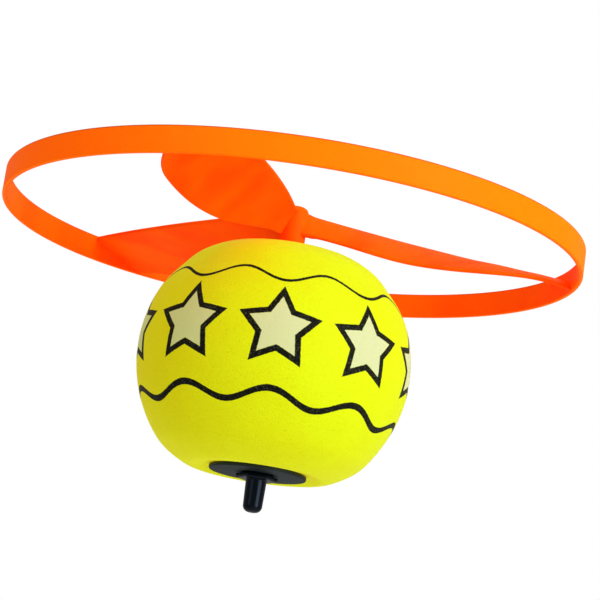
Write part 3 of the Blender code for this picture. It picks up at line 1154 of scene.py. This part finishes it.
@dataclass
class Spinner:
    """Rotor moulding with the axle, the launch peg and the thrust washers that turn with it."""

    steel: Material
    black: Material
    acetal: Material
    hoop_radius: float = 75.0 * MM
    hoop_height: float = 6.7 * MM
    hoop_wall: float = 1.2 * MM
    hoop_edge: float = 0.32 * MM
    hoop_low: float = 60.45 * MM
    hoop_segments: int = 360
    hub_radius: float = 3.3 * MM
    hub_height: float = 11.5 * MM
    hub_crown: float = 1.6 * MM
    hub_foot_radius: float = 3.75 * MM
    hub_foot_height: float = 1.2 * MM
    hub_foot_edge: float = 0.25 * MM
    hub_segments: int = 96
    hub_corner_steps: int = 8
    dimple_radius: float = 0.9 * MM
    dimple_floor: float = 0.7 * MM
    dimple_depth: float = 0.25 * MM
    axle_in_hub: float = 9.5 * MM
    press_bore: float = 1.75 * MM
    blades: int = 3
    blade_start_deg: float = 16.7
    blade_thickness: float = 1.0 * MM
    lead_offset: float = 0.4 * MM
    lead_bow: float = 2.4 * MM
    root_chord: float = 3.0 * MM
    wide_chord: float = 22.1 * MM
    tip_chord: float = 15.9 * MM
    widest_at: float = 0.75
    root_drop: float = 6.4 * MM
    steepest_drop: float = 9.5 * MM
    steepest_at: float = 0.4
    below_crown: float = 1.4 * MM
    tip_inset: float = 0.55 * MM
    camber: float = 0.6 * MM
    ripple: float = 0.10 * MM
    ripple_count: float = 4.2
    ripple_lean: float = 0.55
    ripple_start: float = 1.0 / 3.0
    ripple_end: float = 1.0 / 5.0
    fillet: float = 0.3 * MM
    fillet_reach: float = 0.8 * MM
    span_steps: int = 90
    chord_steps: int = 26
    edge_steps: int = 8
    slope_step: float = 1e-4
    rotor_crease_deg: float = 40.0
    axle_radius: float = 1.5 * MM
    axle_chamfer: float = 0.4 * MM
    axle_segments: int = 64
    peg_root: float = 2.65 * MM
    peg_tip: float = 2.4 * MM
    peg_tip_radius: float = 1.7 * MM
    peg_bore_end: float = -7.0 * MM
    peg_segments: int = 192
    peg_corner_steps: int = 9
    peg_crease_deg: float = 50.0
    collar_half_width: float = 4.7 * MM
    collar_height: float = 1.1 * MM
    collar_gap: float = 0.25 * MM
    collar_bevel: float = 0.35 * MM
    collar_under_edge: float = 0.08 * MM
    collar_upper_edge: float = 0.12 * MM
    collar_inset: float = 0.3 * MM
    hexagon_start: float = 0.4 * MM
    hexagon_blend: float = 0.8 * MM
    spigot_radius: float = 3.5 * MM
    spigot_height: float = 9.0 * MM
    washer_bore: float = 1.8 * MM
    washer_segments: int = 96

    @property
    def hub_top(self) -> float:
        """Height of the hub's crown, from the frame."""
        return node_span("rotor")[2]

    @property
    def hoop_high(self) -> float:
        """Height of the hoop's upper edge."""
        return self.hoop_low + self.hoop_height

    @property
    def hoop_inner(self) -> float:
        """Inner radius of the hoop."""
        return self.hoop_radius - self.hoop_wall

    @property
    def blade_reach(self) -> float:
        """Radius at which the blades end, halfway into the hoop's wall."""
        return self.hoop_radius - self.hoop_wall / 2

    def chord(self, u: Array) -> Array:
        """Leaf outline: a quarter sine from root to widest, then a quarter cosine to the tip.

        Args:
            u: Share of the span.

        Returns:
            Width of the blade.
        """
        rise = np.sin(QUARTER_TURN * np.clip(u / self.widest_at, 0.0, 1.0))
        fall = np.cos(QUARTER_TURN * np.clip((u - self.widest_at) / (1.0 - self.widest_at), 0.0, 1.0))
        inner = self.root_chord + (self.wide_chord - self.root_chord) * rise
        outer = self.tip_chord + (self.wide_chord - self.tip_chord) * fall
        return np.where(u < self.widest_at, inner, outer)

    def drop(self, u: Array) -> Array:
        """Fall from leading to trailing edge: smooth steps from root to steepest, then to the hoop.

        Args:
            u: Share of the span.

        Returns:
            Height of the leading edge above the trailing edge.
        """
        tip = self.hoop_height - 2 * self.tip_inset
        late_share = (u - self.steepest_at) / (1.0 - self.steepest_at)
        early = self.root_drop + (self.steepest_drop - self.root_drop) * smooth(u / self.steepest_at)
        late = self.steepest_drop + (tip - self.steepest_drop) * smooth(late_share)
        return np.where(u < self.steepest_at, early, late)

    def blade_middle(self, u: Array, s: Array, turn: float) -> Array:
        """Middle surface of a blade.

        Along the span u the leading edge bows ahead of the radial line by a parabola and falls evenly from
        below the hub's crown to the hoop. Across the chord s the blade falls behind it, with a cambered
        face. A sine along the span ripples the face faintly, and fades out towards every edge.

        Args:
            u: Share of the span, 0 at the hub and 1 in the hoop's wall.
            s: Share of the chord, 0 at the leading edge.
            turn: Angle of the blade round Z.

        Returns:
            Points, with coordinates last.
        """
        lead_root = self.hub_top - self.below_crown
        lead_tip = self.hoop_high - self.tip_inset
        root = self.axle_radius / 2
        y = self.lead_offset + self.lead_bow * arch(u) - self.chord(u) * s
        x = root + (np.sqrt(self.blade_reach * self.blade_reach - y * y) - root) * u
        inside = smooth(u / self.ripple_start) * smooth((1.0 - u) / self.ripple_end) * arch(s)
        ripple = self.ripple * np.sin(math.tau * (self.ripple_count * u + self.ripple_lean * s)) * inside
        lead = lead_root + (lead_tip - lead_root) * u
        z = lead - self.drop(u) * s + self.camber * arch(s) + ripple
        cos, sin = math.cos(turn), math.sin(turn)
        return np.stack([x * cos - y * sin, x * sin + y * cos, z], axis=-1)

    def blade_surface(self, turn: float) -> Surface:
        """One blade: its middle surface thickened both ways, with half-round edges and flared ends.

        A section runs over the top, round the trailing edge, back below and round the leading edge. Its
        half thickness grows towards the hub and the hoop by a falling exponential, which makes the fillets.

        Args:
            turn: Angle of the blade round Z.

        Returns:
            The blade's closed surface.
        """
        across = np.linspace(0.0, 1.0, self.chord_steps)
        bend = np.linspace(QUARTER_TURN, -QUARTER_TURN, self.edge_steps + 2)[1:-1]
        flat = np.zeros_like(across)
        share = np.concatenate([across, np.ones_like(bend), across[::-1], np.zeros_like(bend)])
        along = np.concatenate([flat, np.cos(bend), flat, -np.cos(bend)])
        above = np.concatenate([flat + 1.0, np.sin(bend), flat - 1.0, -np.sin(bend)])
        u = np.linspace(0.0, 1.0, self.span_steps)[:, None]
        reach = u * self.blade_reach
        from_hub = np.maximum(reach - self.hub_radius, 0.0)
        from_hoop = np.maximum(self.hoop_inner - reach, 0.0)
        inside = np.sqrt(arch(share))[None, :]
        flare = np.exp(-from_hub / self.fillet_reach) + inside * np.exp(-from_hoop / self.fillet_reach)
        half = self.blade_thickness / 2 + self.fillet * flare
        inset = self.blade_thickness / 2 / np.hypot(self.chord(u), self.drop(u))
        s = inset + (1.0 - 2.0 * inset) * share[None, :]
        step = self.slope_step
        outer, inner = np.clip(u + step, 0.0, 1.0), np.clip(u - step, 0.0, 1.0)
        spanwise = self.blade_middle(outer, s, turn) - self.blade_middle(inner, s, turn)
        chordwise = self.blade_middle(u, s + step, turn) - self.blade_middle(u, s - step, turn)
        normal = unit(np.cross(chordwise, spanwise))
        offset = along[None, :, None] * unit(chordwise) + above[None, :, None] * normal
        return lofted(self.blade_middle(u, s, turn) + half[..., None] * offset)

    def hoop_surface(self) -> Surface:
        """Upright band with rounded edges, turned round Z.

        Returns:
            The hoop's closed surface.
        """
        places = [
            (self.hoop_inner, self.hoop_low),
            (self.hoop_radius, self.hoop_low),
            (self.hoop_radius, self.hoop_high),
            (self.hoop_inner, self.hoop_high),
        ]
        return turned(rounded(same_corners(places, self.hoop_edge)), self.hoop_segments)

    def hub_surface(self) -> Surface:
        """Hub turned round Z: a dimpled crown, a flared foot and the bore that the axle is pressed into.

        Returns:
            The hub's closed surface.
        """
        top = self.hub_top
        foot = top - self.hub_height
        step = foot + self.hub_foot_height
        bore = foot + self.axle_in_hub
        dimple = top - self.dimple_depth
        profile = rounded([
            (0.0, bore, SHARP),
            (self.press_bore, bore, CRISP),
            (self.press_bore, foot, EASED),
            (self.hub_foot_radius, foot, self.hub_foot_edge),
            (self.hub_foot_radius, step, EASED),
            (self.hub_radius, step + self.hub_foot_radius - self.hub_radius, SOFT),
            (self.hub_radius, top, self.hub_crown),
            (self.dimple_radius, top, SLIGHT),
            (self.dimple_floor, dimple, CRISP),
            (0.0, dimple, SHARP),
        ], self.hub_corner_steps, closed=False)
        return turned(profile, self.hub_segments, closed=False)

    def build_rotor(self) -> None:
        """Hub, blades and hoop joined into one moulding."""
        role = Piece("rotor_moulding", Body.ROTOR, Slot.ORANGE, "rotor")
        start = math.radians(self.blade_start_deg)
        parts = [self.blade_surface(start + math.tau * index / self.blades) for index in range(self.blades)]
        parts.append(self.hoop_surface())
        base = linked("rotor_hub_form", self.hub_surface().mesh("rotor_hub_form"))
        forms = [base]
        for index, part in enumerate(parts):
            name = f"rotor_form_{index}"
            forms.append(linked(name, part.mesh(name)))
            join = base.modifiers.new(name, "BOOLEAN")
            join.operation = "UNION"
            join.solver = "EXACT"
            join.object = forms[-1]
        mesh = bpy.data.meshes.new_from_object(base.evaluated_get(bpy.context.evaluated_depsgraph_get()))
        mesh.name = role.name
        for form in forms:
            bpy.data.objects.remove(form, do_unlink=True)
        mesh.shade_smooth()
        mesh.set_sharp_from_angle(angle=math.radians(self.rotor_crease_deg))
        finish = OrangeFinish().material(self.blades, self.hoop_high, self.hoop_inner, self.hoop_radius)
        role.show(mesh, finish)

    def build_axle(self) -> None:
        """Plain rod with chamfered ends, turned round Z."""
        _, low, high = node_span("axle")
        chamfer = self.axle_chamfer
        profile = rounded([
            (0.0, low, SHARP),
            (self.axle_radius - chamfer, low, HAIR),
            (self.axle_radius, low + chamfer, CRISP),
            (self.axle_radius, high - chamfer, CRISP),
            (self.axle_radius - chamfer, high, HAIR),
            (0.0, high, SHARP),
        ], SMALL_CORNER_STEPS, closed=False)
        role = Piece("axle_rod", Body.ROTOR, Slot.STEEL, "axle")
        role.show_turned(profile, self.axle_segments, self.steel, closed=False)

    def build_peg(self) -> None:
        """Launch peg: a profile carried round Z that turns hexagonal at the collar."""
        low = node_span("drive_peg")[1]
        top = -self.collar_gap
        under = top - self.collar_height
        wide = self.collar_half_width
        bevel = self.collar_bevel
        profile = rounded([
            (0.0, low, SHARP),
            (self.peg_tip, low, self.peg_tip_radius),
            (self.peg_root, under, SOFT),
            (wide - bevel, under, self.collar_under_edge),
            (wide, under + bevel, CRISP),
            (wide, top, self.collar_upper_edge),
            (self.spigot_radius, top, HAIR),
            (self.spigot_radius, self.spigot_height, SOFT),
            (self.press_bore, self.spigot_height, EASED),
            (self.press_bore, self.peg_bore_end, CRISP),
            (0.0, self.peg_bore_end, SHARP),
        ], self.peg_corner_steps, closed=False)
        reach = profile[:, 0]
        on_collar = reach > self.spigot_radius + self.collar_inset
        hexagon = np.clip((reach - self.peg_root - self.hexagon_start) / self.hexagon_blend, 0.0, 1.0)
        role = Piece("launch_peg_moulding", Body.ROTOR, Slot.GLOSS, "drive_peg")
        mesh = turned(profile, self.peg_segments, closed=False, corners=on_collar * hexagon).mesh(role.name)
        mesh.set_sharp_from_angle(angle=math.radians(self.peg_crease_deg))
        role.show(mesh, self.black)

    def build_washer(self, node: str) -> None:
        """Flat thrust washer with eased edges, turned round Z.

        Args:
            node: The washer's CAD node.
        """
        radius, low, high = node_span(node)
        places = [(self.washer_bore, low), (radius, low), (radius, high), (self.washer_bore, high)]
        profile = rounded(same_corners(places, CRISP), SMALL_CORNER_STEPS)
        role = Piece(f"{node}_ring", Body.ROTOR, Slot.ACETAL, node)
        role.show_turned(profile, self.washer_segments, self.acetal)

    def build(self) -> None:
        """Every piece that turns, from the rotor down."""
        self.build_rotor()
        self.build_axle()
        self.build_peg()
        self.build_washer("lower_washer")
        self.build_washer("upper_washer")


# Studio


@dataclass(frozen=True)
class Lamp:
    """Oval soft lamp on a sphere round the object, at angles from the front towards the right, and up."""

    name: str
    turn_deg: float
    rise_deg: float
    power: float
    width: float = 0.8
    height: float = 0.8
    mirrored: bool = True
    distance: float = 1.19

    def build(self, aim: Vector) -> None:
        """Hang the lamp and point it.

        Args:
            aim: The point that it lights.
        """
        turn, rise = math.radians(self.turn_deg), math.radians(self.rise_deg)
        level = math.cos(rise)
        towards = Vector((math.sin(turn) * level, -math.cos(turn) * level, math.sin(rise)))
        lamp = bpy.data.lights.new(self.name, "AREA")
        lamp.shape = "ELLIPSE"
        lamp.size = self.width
        lamp.size_y = self.height
        lamp.energy = self.power
        holder = linked(self.name, lamp)
        holder.location = aim + towards * self.distance
        holder.rotation_euler = (-towards).to_track_quat("-Z", "Y").to_euler()
        holder.visible_glossy = self.mirrored


@dataclass
class Studio:
    """Plain pale floor, soft white light and the camera at the photograph's angle."""

    floor_level: float = -0.95
    floor_reach: float = 40.0
    floor_middle: float = 0.05
    floor_rings: int = 24
    floor_segments: int = 96
    floor_pale: Colour = (0.84, 0.84, 0.84)
    floor_bright: Colour = (0.88, 0.88, 0.88)
    floor_grain: float = 0.5
    floor_lift: float = 0.72
    sky_light: float = 0.30
    aim_height: float = 0.04
    lamps: tuple[Lamp, ...] = (
        Lamp("tall_key", 47.0, 12.0, 16.0, height=1.9),
        Lamp("front_fill", -45.0, 10.0, 1.5),
        Lamp("top_fill", 20.0, 60.0, 2.4, mirrored=False),
        Lamp("low_back", 180.0, -35.0, 5.6, mirrored=False),
    )
    camera_back: float = 0.5584
    camera_below: float = 0.0793
    camera_turn: float = 0.00764
    camera_tilt: float = 0.2211
    camera_roll: float = -0.14612
    camera_clip: float = 0.01
    focal_px: float = 2235.0
    frame_px: float = 600.0
    sensor: float = 36.0

    def build_camera(self) -> None:
        """Camera below the rotor's plane, looking along +Y and up, rolled to the photograph's horizon."""
        turn, tilt, roll = self.camera_turn, self.camera_tilt, self.camera_roll
        ahead = Vector((math.sin(turn) * math.cos(tilt), math.cos(turn) * math.cos(tilt), math.sin(tilt)))
        right = Vector((math.cos(turn), -math.sin(turn), 0.0))
        down = ahead.cross(right)
        across = right * math.cos(roll) + down * math.sin(roll)
        below = down * math.cos(roll) - right * math.sin(roll)
        place = Matrix((across, -below, -ahead)).transposed().to_4x4()
        place.translation = Vector((0.0, -self.camera_back, -self.camera_below))
        data = bpy.data.cameras.new("photo_camera")
        data.sensor_width = self.sensor
        data.lens = self.focal_px / self.frame_px * self.sensor
        data.clip_start = self.camera_clip
        camera = linked("photo_camera", data)
        camera.matrix_world = place
        bpy.context.scene.camera = camera

    def build_floor(self) -> None:
        """Large round pale floor under the hovering spinner: rings of points at growing radii."""
        radius = np.geomspace(self.floor_middle, self.floor_reach, self.floor_rings)
        points = around_z(radius, turn_angles(self.floor_segments), self.floor_level)
        _, quads = grid_cells(self.floor_segments, self.floor_rings, True, False)
        middle = list(range(0, len(points), self.floor_rings))
        mesh = bpy.data.meshes.new("studio_floor")
        mesh.from_pydata(points.tolist(), [], quads[:, ::-1].tolist() + [middle])
        graph = Graph(bpy.data.materials.new("pale_floor"))
        shade = graph.noise(graph.place(), self.floor_grain)
        seen = graph.node("LightPath", {}, "Is Camera Ray")
        mesh.materials.append(graph.dress({
            "Base Color": graph.mixed(shade, self.floor_pale, self.floor_bright),
            "Roughness": 0.9,
            "Specular IOR Level": 0.0,
            "Emission Color": WHITE,
            "Emission Strength": seen * self.floor_lift,
        }))
        floor = linked("studio_floor", mesh)

    def build_light(self) -> None:
        """White surroundings, seen at full white and weaker as light, and the lamps."""
        graph = Graph(bpy.data.worlds.new("studio_white"), "Background")
        seen = graph.node("LightPath", {}, "Is Camera Ray")
        strength = seen * (1.0 - self.sky_light) + self.sky_light
        bpy.context.scene.world = graph.dress({"Color": WHITE, "Strength": strength})
        for lamp in self.lamps:
            lamp.build(Vector((0.0, 0.0, self.aim_height)))

    def build(self) -> None:
        """Everything round the object."""
        self.build_camera()
        self.build_floor()
        self.build_light()
        bpy.context.scene.view_settings.view_transform = "Standard"


def main() -> None:
    """Build the studio, the head and the spinner."""
    logging.basicConfig(level=logging.INFO, format="%(name)s: %(message)s")
    Studio().build()
    acetal = AcetalFinish().material()
    FoamHead(SATIN_BLACK.material(), acetal).build()
    Spinner(SteelFinish().material(), GLOSS_BLACK.material(), acetal).build()


if __name__ == "__main__":
    main()
